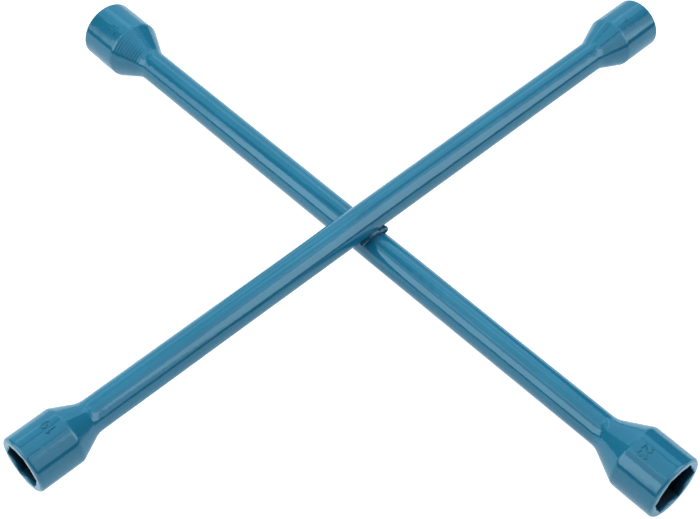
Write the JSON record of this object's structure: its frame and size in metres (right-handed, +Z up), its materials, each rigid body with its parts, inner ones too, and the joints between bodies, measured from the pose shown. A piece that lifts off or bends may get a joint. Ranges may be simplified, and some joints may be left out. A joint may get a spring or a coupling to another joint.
{
  "type": "lug wrench",
  "caption": "Four-way cross wrench for wheel nuts: crossed round bars, welded where they nest, with a hex socket head of a different size welded on each end.",
  "frame": {"origin": "middle of the footprint, on the surface that the lower bar's larger head touches", "axes": "+X along the upper bar towards the 17 mm head, +Y along the lower bar towards the 21 mm head, +Z up through the crossing"},
  "size_m": [0.402, 0.398, 0.043],
  "materials": {
    "bar_enamel": "gloss",
    "socket_enamel": "gloss",
    "weld_enamel": "gloss"
  },
  "bodies": {
    "root": {"upper_bar": "bar_enamel", "lower_bar": "bar_enamel", "socket_17mm": "socket_enamel", "socket_19mm": "socket_enamel", "socket_21mm": "socket_enamel", "socket_23mm": "socket_enamel", "neck_weld_17mm": "weld_enamel", "neck_weld_19mm": "weld_enamel", "neck_weld_21mm": "weld_enamel", "neck_weld_23mm": "weld_enamel", "centre_weld_front": "weld_enamel", "centre_weld_rear": "weld_enamel"}
  },
  "joints": []
}
